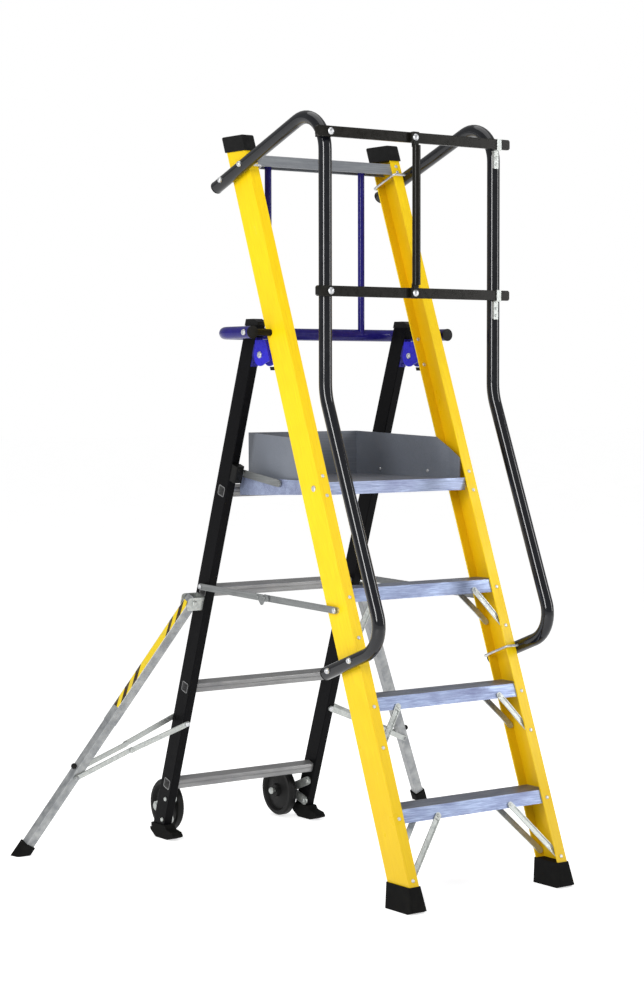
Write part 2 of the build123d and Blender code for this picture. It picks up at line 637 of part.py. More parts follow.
def platform_fixings():
    """Rivets of the toe-board, and the fixed nuts beside the link pivots."""
    pieces = []
    for x in (-130, -45, 45, 130):
        pieces.append(head((x, 152.5, DECK_TOP + 14), (0, -1, 0), 4.5, 2.2))
    for y in (-120.0, 60.0):
        half = 218.5 - 41.3 * (y + 199.8) / 352.3
        pieces += both(head((-half, y, DECK_TOP + 14), (352.3, -41.3, 0), 4.5, 2.2))
    y, z = LINK_B
    nut = head((-DECK_HALF + 3, y, z), (1, 0, 0), 7.5, 6)
    return pieces + both(nut)


def platform_pins():
    """Pivot bolts of the platform in the stile webs."""
    y, z = DECK_PIVOT_Y, DECK_PIVOT_Z
    pin = rod((-HALF_WIDTH + STILE_WALL, y, z), (-DECK_HALF + 10, y, z), 5)
    pin += rod((-HALF_WIDTH + STILE_WALL, y, z), (-LIP_HALF - 1, y, z), 9)
    pin += head((-DECK_HALF + 10, y, z), (1, 0, 0), 8, 5)
    return [pin, head((-HALF_WIDTH, y, z), (-1, 0, 0), 8, 4)]


def platform_link():
    """Flat arm from the side of the platform to the leg block, with its end bolts."""
    plane = yz_plane(-LINK_X - 4.4)
    body = bar(plane, LINK_B, LINK_C, 19, 4)
    body += rod((-LEG_INNER + 3.4, *LINK_C), (-LINK_X - 4.4, *LINK_C), 7)
    body += head((-LINK_X - 0.4, *LINK_C), (1, 0, 0), 7.5, 1.6)
    body += head((-LINK_X - 4.4, *LINK_B), (-1, 0, 0), 7.5, 1.2)
    return body


# ---- spreader stays ----
def knee():
    """Where the two halves of a spreader stay meet, in line between their pivots."""
    return (STAY_S[0] + STAY_R[0]) / 2, (STAY_S[1] + STAY_R[1]) / 2


def spreader_front():
    """Front half of a spreader stay, on the stile."""
    body = bar(yz_plane(-STAY_X - 3), STAY_S, knee(), 17, 3)
    body -= rod((-STAY_X - 10, *STAY_S), (-STAY_X + 10, *STAY_S), 4.3)
    return body


def spreader_rear():
    """Rear half, outside the front half, with its locking tab and bolts at the knee."""
    y, z = knee()
    plane = yz_plane(-STAY_X - 6.6)
    body = bar(plane, STAY_R, (y - 12, z - 0.3), 17, 3)
    body += bar(plane, (y - 4, z + 4), (y + 12, z - 13), 12, 3)
    body += bar(plane, (y + 12, z - 13), (y + 26, z + 2), 12, 3)
    body += head((-STAY_X - 6.6, y, z), (-1, 0, 0), 6, 3)
    body += head((-STAY_X - 6.6, y + 28, z + 0.8), (-1, 0, 0), 5, 3)
    body -= rod((-STAY_X - 10, *STAY_R), (-STAY_X + 10, *STAY_R), 4.3)
    return body


def stile_pins():
    """Spreader pivots on the stile webs."""
    y, z = STAY_S
    pin = rod((-HALF_WIDTH, y, z), (-STAY_X + 0.4, y, z), 8)
    pin += rod((-HALF_WIDTH, y, z), (-STAY_X - 4, y, z), 4)
    return [pin + head((-STAY_X - 4, y, z), (-1, 0, 0), 7, 4.5)]


# ---- outriggers, drawn in the leg's frame ----
def out_point(t, offset=0.0):
    """(x, along) of a point t down the outrigger, moved sideways out of its centre line."""
    angle = math.radians(OUT_ANGLE)
    x = OUT_PIVOT[0] - t * math.sin(angle) - offset * math.cos(angle)
    return x, OUT_PIVOT[1] - t * math.cos(angle) + offset * math.sin(angle)


def out_frame(shape):
    """From the outrigger's own frame (x across, y depth, z down it) to the leg's frame."""
    x, along = OUT_PIVOT
    angle = math.radians(OUT_ANGLE)
    down = Vector(-math.sin(angle), 0, -math.cos(angle))
    across = Vector(-math.cos(angle), 0, math.sin(angle))
    return Plane(origin=(x, 0, along), x_dir=across, z_dir=down) * shape


def square_tube(side, wall, start, end):
    half = side / 2
    body = block(-half, half, -half, half, start, end)
    body = fillet(body.edges().filter_by(Axis.Z), 2)
    return body - block(-half + wall, half - wall, -half + wall, half - wall, start - 1, end + 1)


def outrigger_arm():
    """Square tube with a thicker sleeve at the top, its pivot bushing and the studs of the stay."""
    body = square_tube(OUT_SIDE, 1.0, -13, OUT_SLEEVE_END)
    body += square_tube(OUT_SIDE - 2, 1.8, -11, OUT_TUBE_END)
    body += rod((0, -OUT_SIDE / 2, 0), (0, OUT_SIDE / 2, 0), 8)
    body -= rod((0, -40, 0), (0, 40, 0), 4.3)
    for sign in (-1, 1):
        start = sign * (OUT_SIDE / 2 - 1)
        body += rod((0, start - sign * 0.5, OUT_STAY_AT), (0, sign * 17.9, OUT_STAY_AT), 3)
        body += head((0, sign * 17.9, OUT_STAY_AT), (0, sign, 0), 6, 3)
    return to_leg(out_frame(body))


def outrigger_knob():
    """Black knob that locks the extension in the tube."""
    face = OUT_SIDE / 2 - 1
    knob = rod((face, 0, OUT_KNOB), (face + 4, 0, OUT_KNOB), 5)
    knob += head((face + 4, 0, OUT_KNOB), (1, 0, 0), 8, 9)
    return to_leg(out_frame(knob))


def outrigger_extension():
    """Inner tube that slides out of the outrigger to find an uneven floor."""
    return to_leg(out_frame(square_tube(20, 1.5, OUT_EXTENSION_START, OUT_TUBE_END + 12)))


def outrigger_foot():
    """Rubber cap on the end of the extension, cut level where it meets the floor."""
    start = OUT_TUBE_END + 1
    body = block(-18, 18, -18, 18, start, start + 90)
    body = fillet(body.edges().filter_by(Axis.Z), 7)
    body -= block(-10, 10, -10, 10, start - 5, OUT_TUBE_END + 12)
    body = to_leg(out_frame(body))
    return body & block(-900, -500, 200, 900, 0, 200)


def stay_knee():
    """Knee of the open outrigger stay, half way between its two pivots."""
    x, along = out_point(OUT_STAY_AT)
    return (x + OUT_LEG_PIVOT[0]) / 2, (along + OUT_LEG_PIVOT[1]) / 2


def stay_inner():
    """Pair of bent straps that straddle the leg."""
    start, end = OUT_LEG_PIVOT, stay_knee()
    run = math.dist(start, end)
    width = 16.0
    pieces = []
    for sign in (-1, 1):
        profile = [(-8, 27.6), (14, 27.6), (run - 16, 18.2), (run + 8, 18.2)]
        outline = profile + [(w, d + 3) for w, d in reversed(profile)]
        outline = [(w, sign * d) for w, d in outline]
        slab = extrude(make_face(Polyline(*outline, close=True)), amount=width / 2, both=True)
        ends = Plane.XZ * (Pos(run / 2, 0) * SlotCenterToCenter(run, width))
        strap = slab & extrude(ends, amount=40, both=True)
        strap -= rod((0, sign * 20, 0), (0, sign * 40, 0), 4.3)
        strap += head((run, sign * 21.2, 0), (0, sign, 0), 6, 3)
        along = Vector(end[0] - start[0], 0, end[1] - start[1]).normalized()
        place = Plane(origin=(start[0], 0, start[1]), x_dir=along, z_dir=along.cross(Vector(0, 1, 0)))
        pieces.append(to_leg(place * strap))
    return pieces


def stay_outer():
    """Pair of straight straps that straddle the outrigger and meet the inner pair."""
    start, end = out_point(OUT_STAY_AT), stay_knee()
    pieces = []
    for low in (-17.5, 14.5):
        plane = Plane(origin=(0, low + 3, 0), x_dir=(1, 0, 0), z_dir=(0, -1, 0))
        strap = bar(plane, start, end, 15, 3)
        strap -= rod((start[0], low - 5, start[1]), (start[0], low + 8, start[1]), 3.3)
        pieces.append(to_leg(strap))
    return pieces


# ---- gate ----
def gate_rail(level):
    """Flat rail with chamfered end plugs and bores for its two pivots."""
    half = GATE_HEIGHT / 2
    body = block(GATE_LEFT, GATE_RIGHT, GATE_FRONT, GATE_BACK, level - half, level + half)
    body = chamfer(body.edges().filter_by(Axis.Y), 4)
    body = fillet(body.edges().filter_by(Axis.X), 1.5)
    for x in (GATE_PIVOT_X, GATE_UPRIGHT_X):
        body -= rod((x, GATE_FRONT - 5, level), (x, GATE_BACK + 5, level), 3.4)
    return body


def gate_upright():
    """Round upright with flattened ends in front of the rails, and its two pins."""
    low, high = GATE_LEVELS
    front = GATE_FRONT - 0.6
    body = rod((GATE_UPRIGHT_X, front - 10.5, low + 20), (GATE_UPRIGHT_X, front - 10.5, high - 20), 10.5)
    pins = []
    for level, way in ((low, 1), (high, -1)):
        plate = block(GATE_UPRIGHT_X - 13, GATE_UPRIGHT_X + 13, front - 8, front, level - 14, level + 14)
        plate = fillet(plate.edges().filter_by(Axis.Y), 6)
        neck = block(GATE_UPRIGHT_X - 8, GATE_UPRIGHT_X + 8, front - 10, front - 1,
                     level + way * 10, level + way * 24)
        body = body + plate + neck
        pins.append(rod((GATE_UPRIGHT_X, front - 1, level), (GATE_UPRIGHT_X, GATE_BACK - 1, level), 3))
        pins.append(head((GATE_UPRIGHT_X, front - 8, level), (0, -1, 0), 6.5, 3.5))
    for pin in pins:
        body += pin
    return body


def post_centre(level):
    """World y of the guard rail's centre line at this height near its upper bend."""
    bend = 87.0
    corner_depth = (POST_Y - STILE_FRONT_Y - UPPER_ARM_S * SIN_L) / COS_L
    corner_z = on_stile(corner_depth, UPPER_ARM_S)[1]
    turn = math.radians(90 + STILE_LEAN)
    start = corner_z - bend * math.tan(turn / 2)
    rise = max(0.0, level - start)
    return POST_Y + bend - math.sqrt(bend ** 2 - rise ** 2)


def gate_saddles():
    """Black blocks on the left post, with the pins that the gate rails turn on."""
    pieces = []
    post = guard_rail_core()
    for level in GATE_LEVELS:
        back = post_centre(level)
        body = block(-RAIL_X - 22, -RAIL_X + 12, GATE_BACK + 0.4, back, level - 12, level + 12)
        body -= post
        pin = rod((GATE_PIVOT_X, GATE_FRONT - 0.6, level), (GATE_PIVOT_X, GATE_BACK + 1, level), 3)
        pin += head((GATE_PIVOT_X, GATE_FRONT - 0.6, level), (0, -1, 0), 7.5, 4.5)
        pieces.append(body + pin)
    return pieces


def guard_rail_core():
    """Solid form of the upper part of the left guard rail, for cutting what sits on it."""
    corner_depth = (POST_Y - STILE_FRONT_Y - UPPER_ARM_S * SIN_L) / COS_L
    route = [on_stile(0, UPPER_ARM_S), on_stile(corner_depth, UPPER_ARM_S), (POST_Y, POST_KINK_Z)]
    return wire([(-RAIL_X, y, z) for y, z in route], TUBE_R + 0.05, 87)


def gate_catches():
    """Steel catches on the right post: a plate with two rivets and a hook under the rail."""
    pieces = []
    half = 7.0
    post = mirrored(guard_rail_core())
    for level in GATE_LEVELS:
        low = level - GATE_HEIGHT / 2 - 0.6
        face = GATE_BACK + 0.4
        plate = block(CATCH_X - half, CATCH_X + half, face - 2, face, low - 48, low)
        floor = block(CATCH_X - half, CATCH_X + half, GATE_FRONT - 2.6, face, low - 2, low)
        lip = block(CATCH_X - half, CATCH_X + half, GATE_FRONT - 2.6, GATE_FRONT - 0.6, low - 2, level + 14)
        wedge = block(CATCH_X - 5, CATCH_X + 5, face - 1, post_centre(level), low - 46, low - 2)
        body = plate + floor + lip + wedge - post
        for drop in (20, 38):
            body += head((CATCH_X, face - 2, low - drop), (0, -1, 0), 4, 2)
        pieces.append(body)
    return pieces


# ---- write every piece ----
left_stile = stile()
left_boot = boot()
left_rail = guard_rail()
left_leg = rear_leg()
left_foot = rear_foot()
left_wheel = wheel()
one_side = {
    "stile": [left_stile],
    "front_foot": [left_boot],
    "guard_rail": [left_rail],
    "rear_leg": [left_leg],
    "rear_foot": [left_foot],
    "wheel": [left_wheel],
    "platform_link": [platform_link()],
    "spreader_front": [spreader_front()],
    "spreader_rear": [spreader_rear()],
    "outrigger_arm": [outrigger_arm()],
    "outrigger_knob": [outrigger_knob()],
    "outrigger_extension": [outrigger_extension()],
    "outrigger_foot": [outrigger_foot()],
    "stay_inner": stay_inner(),
    "stay_outer": stay_outer(),
}
for stem, solids in one_side.items():
    for side, name in SIDES:
        save(f"{stem}_{name}", *[side_of(solid, side) for solid in solids])

pairs = {
    "stile_caps": [stile_cap()],
    "hinge_brackets": [hinge_bracket()],
    "hinge_pads": [hinge_pad()],
    "hinge_pins": hinge_pin(),
    "leg_lugs": leg_lug(),
    "leg_caps": [leg_cap()],
    "wheel_mounts": wheel_mount(),
    "link_blocks": link_block(),
    "outrigger_brackets": outrigger_bracket(),
}
for name, solids in pairs.items():
    save(name, *solids, *[mirrored(solid) for solid in solids])

for number, top in enumerate(TREAD_TOPS, start=1):
    save(f"tread_{number}", tread(top))
save("tread_braces", *tread_braces())
save("top_bar", top_bar())
save("rail_plugs", *rail_plugs(), *hoop_plugs())
save("rail_clamps", *rail_clamps())
save("frame_rivets", *frame_rivets())
save("rear_hoop", rear_hoop())
save("hoop_uprights", *hoop_uprights())
frame_pins = platform_pins() + stile_pins()
save("frame_bolts", *hoop_fittings(), *frame_pins, *[mirrored(pin) for pin in frame_pins])
save("rear_rungs", *[rear_rung(along) for along in RUNG_S])
save("leg_bolts", *leg_bolts())
save("platform_deck", platform_deck())
save("toe_board", toe_board())
save("platform_fixings", *platform_fixings())
save("gate_rail_lower", gate_rail(GATE_LEVELS[0]))
save("gate_rail_upper", gate_rail(GATE_LEVELS[1]))
save("gate_upright", gate_upright())
save("gate_saddles", *gate_saddles())
save("gate_catches", *gate_catches())
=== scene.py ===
import json
import math

import bmesh
import bpy
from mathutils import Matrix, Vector


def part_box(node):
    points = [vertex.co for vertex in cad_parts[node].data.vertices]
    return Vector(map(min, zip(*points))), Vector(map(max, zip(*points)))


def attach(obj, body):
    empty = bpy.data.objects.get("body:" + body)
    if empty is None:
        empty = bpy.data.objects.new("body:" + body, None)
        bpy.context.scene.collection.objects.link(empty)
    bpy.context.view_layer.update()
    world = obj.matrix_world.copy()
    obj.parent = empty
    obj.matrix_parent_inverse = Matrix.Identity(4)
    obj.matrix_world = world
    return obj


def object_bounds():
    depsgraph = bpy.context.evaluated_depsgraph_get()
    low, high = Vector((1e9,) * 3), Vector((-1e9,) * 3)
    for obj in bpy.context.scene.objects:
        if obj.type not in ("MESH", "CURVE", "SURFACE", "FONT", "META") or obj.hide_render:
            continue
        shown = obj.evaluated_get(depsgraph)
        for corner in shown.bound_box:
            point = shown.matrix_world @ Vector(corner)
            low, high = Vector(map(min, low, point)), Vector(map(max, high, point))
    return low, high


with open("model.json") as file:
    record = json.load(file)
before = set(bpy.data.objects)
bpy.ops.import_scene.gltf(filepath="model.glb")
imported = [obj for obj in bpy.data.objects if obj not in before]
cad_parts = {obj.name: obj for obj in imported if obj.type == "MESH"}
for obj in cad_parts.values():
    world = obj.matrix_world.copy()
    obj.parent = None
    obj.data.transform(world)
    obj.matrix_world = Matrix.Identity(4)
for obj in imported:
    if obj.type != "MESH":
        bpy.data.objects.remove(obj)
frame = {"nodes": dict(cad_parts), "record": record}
cad_low, cad_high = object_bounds()
NODES = frame["nodes"]
JOINTS = {joint["name"]: joint for joint in frame["record"]["behaviour"]["joints"]}

# sizes shared with the CAD part, in metres
STILE_LEAN = math.radians(20.86)    # from vertical
STILE_FRONT_Y = -0.6404      # where the stile's front face meets the floor
STILE_WALL = 0.004
STILE_DEPTH = 0.080
WEB_INSIDE = 0.248
LEG_LEAN = math.radians(18.83)
OUT_ANGLE = math.radians(29.0)
OUT_HALF = 0.014             # half the width of an outrigger tube
SIDES = ((-1, "left"), (1, "right"))

# hazard tape, along the outrigger from its pivot
TAPE_START, TAPE_END = 0.006, 0.345
TAPE_PLAIN = (0.098, 0.226)  # the stretch without stripes
TAPE_PITCH = 0.052
TAPE_SLANT = 1.8             # stripe shift along the tube for each step across it


# ---- node helpers ----
class Graph:
    """One node material, built a node at a time."""

    def __init__(self, name):
        self.mat = bpy.data.materials.new(name)
        self.mat.use_nodes = True
        self.tree = self.mat.node_tree
        self.shader = self.tree.nodes["Principled BSDF"]
        self.coord = self.tree.nodes.new("ShaderNodeTexCoord").outputs["Object"]

    def link(self, source, target):
        self.tree.links.new(source, target)

    def put(self, value, socket):
        if hasattr(value, "is_output"):
            self.link(value, socket)
        else:
            socket.default_value = value

    def math(self, operation, a, b=0.0, clamp=False):
        node = self.tree.nodes.new("ShaderNodeMath")
        node.operation = operation
        node.use_clamp = clamp
        self.put(a, node.inputs[0])
        self.put(b, node.inputs[1])
        return node.outputs[0]

    def dot(self, direction):
        node = self.tree.nodes.new("ShaderNodeVectorMath")
        node.operation = "DOT_PRODUCT"
        self.link(self.coord, node.inputs[0])
        node.inputs[1].default_value = direction
        return node.outputs["Value"]

    def spun(self, angle, scale):
        """Object coordinates turned about X, then stretched."""
        turn = self.tree.nodes.new("ShaderNodeMapping")
        turn.inputs["Rotation"].default_value = (angle, 0, 0)
        self.link(self.coord, turn.inputs["Vector"])
        stretch = self.tree.nodes.new("ShaderNodeMapping")
        stretch.inputs["Scale"].default_value = scale
        self.link(turn.outputs[0], stretch.inputs["Vector"])
        return stretch.outputs[0]

    def noise(self, scale, detail=3.0, rough=0.55, vector=None):
        node = self.tree.nodes.new("ShaderNodeTexNoise")
        node.inputs["Scale"].default_value = scale
        node.inputs["Detail"].default_value = detail
        node.inputs["Roughness"].default_value = rough
        self.link(vector or self.coord, node.inputs["Vector"])
        return node.outputs["Fac"]

    def cells(self, scale, vector=None):
        node = self.tree.nodes.new("ShaderNodeTexVoronoi")
        node.inputs["Scale"].default_value = scale
        self.link(vector or self.coord, node.inputs["Vector"])
        grey = self.tree.nodes.new("ShaderNodeRGBToBW")
        self.link(node.outputs["Color"], grey.inputs[0])
        return grey.outputs[0]

    def spread(self, value, low, high, to_low=0.0, to_high=1.0):
        node = self.tree.nodes.new("ShaderNodeMapRange")
        self.put(value, node.inputs["Value"])
        node.inputs["From Min"].default_value = low
        node.inputs["From Max"].default_value = high
        node.inputs["To Min"].default_value = to_low
        node.inputs["To Max"].default_value = to_high
        return node.outputs["Result"]

    def mix(self, factor, a, b):
        node = self.tree.nodes.new("ShaderNodeMix")
        node.data_type = "RGBA"
        self.put(factor, node.inputs[0])
        for value, socket in ((a, node.inputs[6]), (b, node.inputs[7])):
            if hasattr(value, "is_output"):
                self.link(value, socket)
            else:
                socket.default_value = (*value, 1.0)
        return node.outputs[2]

    def bump(self, height, distance, strength=1.0):
        node = self.tree.nodes.new("ShaderNodeBump")
        node.inputs["Strength"].default_value = strength
        node.inputs["Distance"].default_value = distance
        self.link(height, node.inputs["Height"])
        self.link(node.outputs[0], self.shader.inputs["Normal"])

    def surface(self, colour, rough, metallic=0.0):
        self.link(colour, self.shader.inputs["Base Color"])
        self.put(rough, self.shader.inputs["Roughness"])
        self.shader.inputs["Metallic"].default_value = metallic
        return self.mat


def fibreglass():
    """Gloss yellow pultruded channel: fibre streaks, painted shade inside the channel (tinted warmer to stand
    for light through the fibreglass), and painted shade darkening it towards the floor.
    """
    g = Graph("grp_yellow")
    fibres = g.noise(6.0, 4.0, 0.6, g.spun(STILE_LEAN, (90, 90, 2.5)))
    clouds = g.noise(7.0, 3.0)
    specks = g.noise(420.0, 2.0)
    colour = g.mix(g.spread(fibres, 0.3, 0.7), (0.80, 0.52, 0.003), (0.92, 0.66, 0.006))
    colour = g.mix(g.spread(clouds, 0.45, 0.8, 0.0, 0.35), colour, (0.76, 0.46, 0.003))
    scuffs = g.spread(g.noise(38.0, 6.0, 0.75, g.spun(STILE_LEAN, (1, 1, 0.3))), 0.66, 0.72)
    colour = g.mix(g.math("MULTIPLY", scuffs, 0.25), colour, (0.95, 0.80, 0.25))
    colour = g.mix(g.spread(specks, 0.70, 0.78, 0.0, 0.5), colour, (0.40, 0.24, 0.004))
    # painted shade: faces inside the channel, between the flanges, are mixed towards a darker amber, also
    # standing in for light glowing through the thin fibreglass wall
    depth = g.dot((0.0, math.cos(STILE_LEAN), -math.sin(STILE_LEAN)))
    depth = g.math("SUBTRACT", depth, STILE_FRONT_Y * math.cos(STILE_LEAN))
    across = g.math("ABSOLUTE", g.dot((1.0, 0.0, 0.0)))
    channel_shade = g.math("GREATER_THAN", depth, STILE_WALL - 0.0004)
    channel_shade = g.math("MULTIPLY", channel_shade, g.math("LESS_THAN", depth, STILE_DEPTH - STILE_WALL + 0.0004))
    channel_shade = g.math("MULTIPLY", channel_shade, g.math("LESS_THAN", across, WEB_INSIDE + 0.0004))
    colour = g.mix(g.math("MULTIPLY", channel_shade, 0.6), colour, (0.66, 0.36, 0.002))
    # painted shade: the stile's colour is mixed towards a darker yellow lower down, where less light falls near
    # the floor
    height = g.dot((0.0, 0.0, 1.0))
    floor_shade = g.spread(height, cad_low.z + 0.75, cad_low.z + 0.1, 0.0, 0.55)
    colour = g.mix(floor_shade, colour, (0.50, 0.31, 0.002))
    g.bump(fibres, 0.0004, 0.35)
    g.shader.inputs["Specular IOR Level"].default_value = 0.22
    return g.surface(colour, g.spread(clouds, 0.3, 0.7, 0.26, 0.42))


def metal(name, light, dark, tint, metallic, rough, grain, cloud_scale=24.0, top=None):
    """Bare metal: drawn lines along one axis, cloudy oxide in a second tint, fine scratches.
    Faces that point up take the top colour where one is given."""
    g = Graph(name)
    lines = g.noise(10.0, 3.0, 0.6, g.spun(0.0, grain))
    patches = tuple(0.3 if stretch < 5 else 1.0 for stretch in grain)    # longer along the lines
    clouds = g.noise(cloud_scale, 5.0, 0.65, g.spun(0.0, patches))
    fine = g.noise(260.0, 2.0)
    colour = g.mix(g.spread(lines, 0.35, 0.65), dark, light)
    colour = g.mix(g.spread(clouds, 0.42, 0.72, 0.0, 0.6), colour, tint)
    colour = g.mix(g.spread(fine, 0.62, 0.75, 0.0, 0.4), colour, light)
    if top:
        facing = g.tree.nodes.new("ShaderNodeSeparateXYZ")
        texture = g.tree.nodes.new("ShaderNodeTexCoord")
        g.link(texture.outputs["Normal"], facing.inputs[0])
        tread = g.mix(g.spread(clouds, 0.35, 0.7), top, tuple(0.78 * channel for channel in top))
        colour = g.mix(g.math("GREATER_THAN", facing.outputs[2], 0.7), colour, tread)
    g.bump(lines, 0.0003, 0.3)
    return g.surface(colour, g.spread(clouds, 0.3, 0.7, rough[0], rough[1]), metallic)


def galvanised(name, light, dark, scale=150.0):
    """Zinc coat with its crystal spangle."""
    g = Graph(name)
    spangle = g.cells(scale)
    clouds = g.noise(30.0, 4.0)
    colour = g.mix(g.spread(spangle, 0.2, 0.8), dark, light)
    colour = g.mix(g.spread(clouds, 0.5, 0.75, 0.0, 0.45), colour, (0.36, 0.37, 0.35))
    g.bump(spangle, 0.0002, 0.25)
    return g.surface(colour, g.spread(spangle, 0.0, 1.0, 0.30, 0.55), 0.75)


def coated(name, base, second, rough, relief, shine, scale=60.0):
    """Paint, moulded plastic or rubber: fine texture, dusty patches and small scuffs."""
    g = Graph(name)
    texture = g.noise(900.0 if relief < 0.0003 else 420.0, 2.0)
    clouds = g.noise(scale, 4.0, 0.6)
    scuffs = g.noise(95.0, 7.0, 0.75)
    colour = g.mix(g.spread(clouds, 0.4, 0.75, 0.0, 0.8), base, second)
    pale = tuple(min(1.0, channel * 2.0 + 0.02) for channel in second)
    colour = g.mix(g.spread(scuffs, 0.68, 0.76, 0.0, 0.3), colour, pale)
    if relief:
        g.bump(texture, relief, 0.5)
    g.shader.inputs["Specular IOR Level"].default_value = shine
    return g.surface(colour, g.spread(clouds, 0.3, 0.7, rough[0], rough[1]))


def outrigger_finish(side, name):
    """Grey tube with a strip of hazard tape down its outer face."""
    g = Graph("outrigger_tube_" + name)
    pivot = Vector(JOINTS[f"outrigger_{name}_fold"]["pos_m"])
    down_leg = Vector((0.0, math.sin(LEG_LEAN), -math.cos(LEG_LEAN)))
    out = Vector((side, 0.0, 0.0))
    down = out * math.sin(OUT_ANGLE) + down_leg * math.cos(OUT_ANGLE)
    across = out * math.cos(OUT_ANGLE) - down_leg * math.sin(OUT_ANGLE)
    deep = Vector((0.0, math.cos(LEG_LEAN), math.sin(LEG_LEAN)))
    along = g.math("SUBTRACT", g.dot(down), pivot.dot(down))
    outward = g.math("SUBTRACT", g.dot(across), pivot.dot(across))
    depth = g.math("SUBTRACT", g.dot(deep), pivot.dot(deep))
    clouds = g.noise(40.0, 4.0)
    grain = g.noise(300.0, 3.0)
    metal_colour = g.mix(g.spread(clouds, 0.35, 0.7), (0.20, 0.21, 0.22), (0.36, 0.37, 0.37))
    slant = g.math("ADD", along, g.math("MULTIPLY", depth, TAPE_SLANT))
    stripe = g.math("GREATER_THAN", g.math("FRACT", g.math("DIVIDE", slant, TAPE_PITCH)), 0.5)
    plain = g.math("GREATER_THAN", slant, TAPE_PLAIN[0])
    plain = g.math("MULTIPLY", plain, g.math("LESS_THAN", slant, TAPE_PLAIN[1]))
    stripe = g.math("MULTIPLY", stripe, g.math("SUBTRACT", 1.0, plain))
    tape = g.mix(stripe, (0.90, 0.66, 0.02), (0.05, 0.03, 0.015))
    edge = g.math("GREATER_THAN", g.math("ABSOLUTE", depth), 0.0112)
    tape = g.mix(edge, tape, (0.80, 0.80, 0.76))
    tape = g.mix(g.spread(clouds, 0.5, 0.8, 0.0, 0.4), tape, (0.35, 0.30, 0.16))
    on = g.math("GREATER_THAN", outward, OUT_HALF - 0.0006)
    on = g.math("MULTIPLY", on, g.math("GREATER_THAN", along, TAPE_START))
    on = g.math("MULTIPLY", on, g.math("LESS_THAN", along, TAPE_END))
    on = g.math("MULTIPLY", on, g.math("LESS_THAN", g.math("ABSOLUTE", depth), 0.0125))
    colour = g.mix(on, metal_colour, tape)
    g.bump(grain, 0.0002, 0.3)
    return g.surface(colour, g.spread(clouds, 0.3, 0.7, 0.32, 0.5), 0.3)


YELLOW = fibreglass()
TREAD = metal("tread_aluminium", (0.34, 0.41, 0.58), (0.17, 0.21, 0.34), (0.13, 0.14, 0.26), 0.6,
              (0.30, 0.48), (2.0, 50, 50), 34.0, (0.20, 0.21, 0.24))
DECK = metal("deck_aluminium", (0.44, 0.51, 0.70), (0.22, 0.26, 0.40), (0.15, 0.16, 0.29), 0.6,
             (0.28, 0.46), (2.0, 50, 50), 34.0, (0.26, 0.27, 0.30))
BAR_GREY = metal("bar_grey", (0.34, 0.36, 0.38), (0.22, 0.23, 0.25), (0.17, 0.18, 0.20), 0.5,
                 (0.35, 0.5), (0.6, 60, 60))
STAY_GREY = metal("stay_grey", (0.28, 0.29, 0.29), (0.17, 0.18, 0.18), (0.12, 0.12, 0.13), 0.6,
                  (0.35, 0.5), (60, 0.6, 60))
TOE_GREY = metal("toe_grey", (0.19, 0.21, 0.25), (0.15, 0.165, 0.195), (0.22, 0.24, 0.28), 0.25,
                 (0.42, 0.58), (0.6, 40, 60), 6.0)
RUNG = metal("rung_aluminium", (0.30, 0.30, 0.30), (0.19, 0.19, 0.19), (0.13, 0.13, 0.14), 0.6,
             (0.32, 0.5), (0.6, 60, 60))
GALVANISED = galvanised("galvanised", (0.50, 0.52, 0.50), (0.38, 0.40, 0.39), 190.0)
ZINC = galvanised("zinc_plate", (0.70, 0.71, 0.72), (0.42, 0.43, 0.45), 320.0)
RAIL_BLACK = coated("rail_black", (0.0035, 0.004, 0.006), (0.007, 0.008, 0.011), (0.07, 0.13), 0.0, 0.45)
GATE_DARK = coated("gate_dark", (0.006, 0.0055, 0.004), (0.010, 0.009, 0.007), (0.24, 0.36), 0.0, 0.16)
LEG_BLACK = coated("leg_black", (0.0025, 0.0025, 0.003), (0.005, 0.005, 0.006), (0.40, 0.55), 0.0002, 0.05)
HOOP_BLUE = coated("hoop_blue", (0.012, 0.009, 0.125), (0.018, 0.014, 0.175), (0.16, 0.28), 0.0, 0.2)
BRACKET_BLUE = coated("bracket_blue", (0.016, 0.012, 0.42), (0.024, 0.018, 0.55), (0.22, 0.36), 0.0002, 0.25)
LUG_BLUE = coated("lug_blue", (0.010, 0.008, 0.15), (0.016, 0.013, 0.22), (0.25, 0.4), 0.0002, 0.2)
PLASTIC = coated("black_plastic", (0.004, 0.004, 0.004), (0.009, 0.009, 0.009), (0.38, 0.55), 0.0003, 0.15)
RUBBER = coated("black_rubber", (0.005, 0.005, 0.005), (0.011, 0.011, 0.010), (0.60, 0.80), 0.0004, 0.05)

FINISHES = {
    "top_bar": BAR_GREY, "toe_board": TOE_GREY, "platform_deck": DECK, "rear_rungs": RUNG,
    "tread_braces": GALVANISED, "gate_catches": GALVANISED, "outrigger_brackets": GALVANISED,
    "wheel_mounts": GALVANISED, "stile_caps": PLASTIC, "rail_plugs": PLASTIC, "gate_saddles": PLASTIC,
    "hinge_pads": PLASTIC, "leg_caps": PLASTIC, "link_blocks": PLASTIC, "rail_clamps": ZINC,
    "frame_rivets": ZINC, "frame_bolts": ZINC, "hinge_pins": ZINC, "leg_bolts": ZINC,
    "platform_fixings": ZINC, "hoop_uprights": HOOP_BLUE, "rear_hoop": HOOP_BLUE,
    "hinge_brackets": BRACKET_BLUE, "leg_lugs": LUG_BLUE, "gate_rail_upper": GATE_DARK,
    "gate_rail_lower": GATE_DARK, "gate_upright": GATE_DARK,
}
for number in (1, 2, 3):
    FINISHES[f"tread_{number}"] = TREAD
